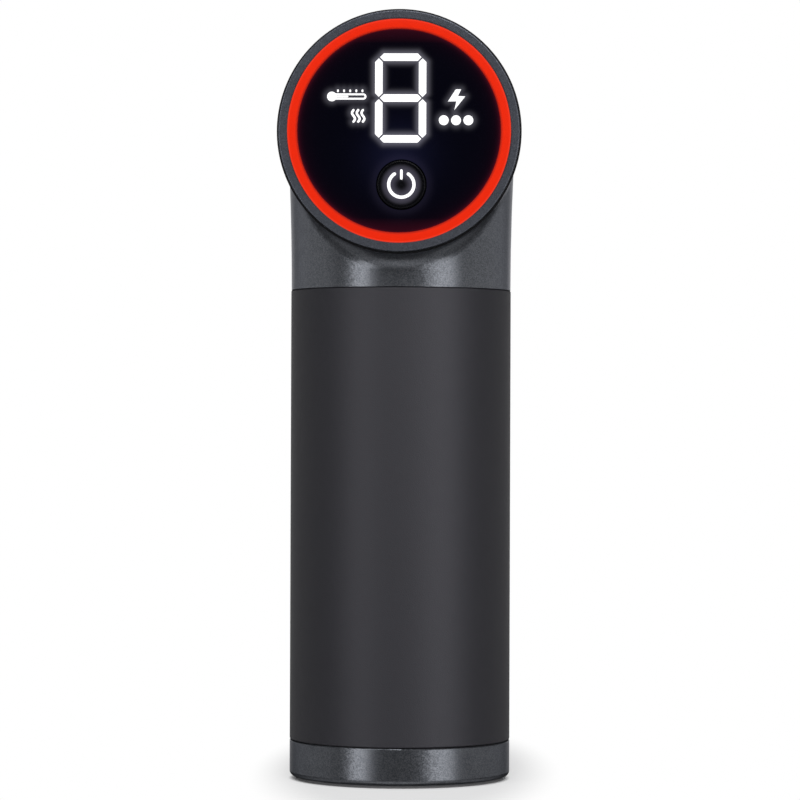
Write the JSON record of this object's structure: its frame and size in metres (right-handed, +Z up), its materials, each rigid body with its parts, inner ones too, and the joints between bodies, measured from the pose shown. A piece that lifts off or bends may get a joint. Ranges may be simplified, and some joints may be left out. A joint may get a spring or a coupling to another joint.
{
  "type": "hot cold therapy machine",
  "caption": "Hand-held percussion massager with a round grip, a barrel with a lit display and button at one end, and a hot and cold contact head at the other.",
  "frame": {"origin": "centre of the base foot's lower face", "axes": "+Z up the handle, -Y out of the display end, +Y out of the treatment head, +X to the display's right"},
  "size_m": [0.0532, 0.1048, 0.1712],
  "materials": {
    "metallic_paint": "satin",
    "nose_paint": "satin",
    "grip_silicone": "satin",
    "foot_rubber": "matte",
    "seal_rubber": "matte",
    "bezel_metal": "satin",
    "red_diffuser": "satin",
    "smoked_lens": "gloss",
    "button_black": "satin",
    "head_plastic": "satin",
    "black_plastic": "matte",
    "white_diffuser": "satin",
    "plate_aluminium": "satin",
    "plain_aluminium": "satin",
    "bright_steel": "satin",
    "dark_steel": "satin",
    "magnet_nickel": "satin",
    "stator_iron": "matte",
    "copper_wire": "satin",
    "contact_brass": "satin",
    "bush_bronze": "satin",
    "module_ceramic": "matte",
    "cell_wrap": "satin",
    "lead_insulation": "satin",
    "circuit_board": "satin",
    "cable_film": "satin"
  },
  "bodies": {
    "housing": {"main_housing": "metallic_paint", "grip_sleeve": "grip_silicone", "bottom_cap": "metallic_paint", "base_foot": "foot_rubber", "cap_screws": "dark_steel", "rear_bezel": "bezel_metal", "light_ring": "red_diffuser", "display_lens": "smoked_lens", "nose_collar": "nose_paint", "nose_screws": "dark_steel", "nose_seal": "seal_rubber", "lower_cell_holder": "black_plastic", "upper_cell_holder": "black_plastic", "battery_cells": "cell_wrap", "cell_straps": "magnet_nickel", "battery_leads": "lead_insulation", "driver_board": "circuit_board", "driver_components": "black_plastic", "usb_receptacle": "bright_steel", "charge_board": "circuit_board", "display_carrier": "black_plastic", "figure_diffusers": "white_diffuser", "display_board": "circuit_board", "display_lamps": "white_diffuser", "cable_sockets": "white_diffuser", "display_cable": "cable_film", "drive_bracket": "plain_aluminium", "bracket_bush": "bush_bronze", "nose_bush": "bush_bronze", "motor_base": "plain_aluminium", "motor_bearings": "bright_steel", "motor_stator": "stator_iron", "motor_coils": "copper_wire", "motor_leads": "lead_insulation", "tact_switch": "black_plastic", "driver_screws": "dark_steel", "display_screws": "dark_steel", "bracket_screws": "dark_steel", "motor_screws": "dark_steel"},
    "crank_drive": {"crank": "bright_steel", "crank_bearing": "bright_steel", "crank_clip": "bright_steel", "motor_rotor": "bright_steel", "rotor_magnets": "magnet_nickel", "motor_shaft": "bright_steel"},
    "plunger": {"yoke": "bright_steel", "yoke_pin": "bright_steel", "plunger_tube": "plain_aluminium", "socket_contacts": "black_plastic"},
    "thermal_head": {"head_body": "head_plastic", "stem_ring": "seal_rubber", "contact_pins": "contact_brass", "fan_frame": "black_plastic", "heat_sink": "plain_aluminium", "peltier_module": "module_ceramic", "peltier_gasket": "seal_rubber", "contact_plate": "plate_aluminium"},
    "fan": {"fan_rotor": "black_plastic"},
    "power_button": {"power_button": "button_black", "switch_plunger": "white_diffuser"}
  },
  "joints": [
    {"name": "crank_turn", "type": "hinge", "parent": "housing", "child": "crank_drive", "pos_m": [0, 0, 0.1446], "axis": [0, 0, 1], "range_deg": [-90, 90]},
    {"name": "plunger_stroke", "type": "slide", "parent": "housing", "child": "plunger", "axis": [0, 1, 0], "range_m": [-0.004, 0.004]},
    {"name": "head_pull", "type": "slide", "parent": "plunger", "child": "thermal_head", "axis": [0, 1, 0], "range_m": [0, 0.02]},
    {"name": "fan_spin", "type": "hinge", "parent": "thermal_head", "child": "fan", "pos_m": [0, 0.05, 0.1446], "axis": [0, 1, 0], "continuous": true},
    {"name": "button_press", "type": "slide", "parent": "housing", "child": "power_button", "axis": [0, 1, 0], "range_m": [0, 0.0005], "stiffness_N_per_m": 600}
  ],
  "couplings": [
    {"joint": "crank_turn", "follows": "plunger_stroke", "rad_per_m": 392.7}
  ]
}
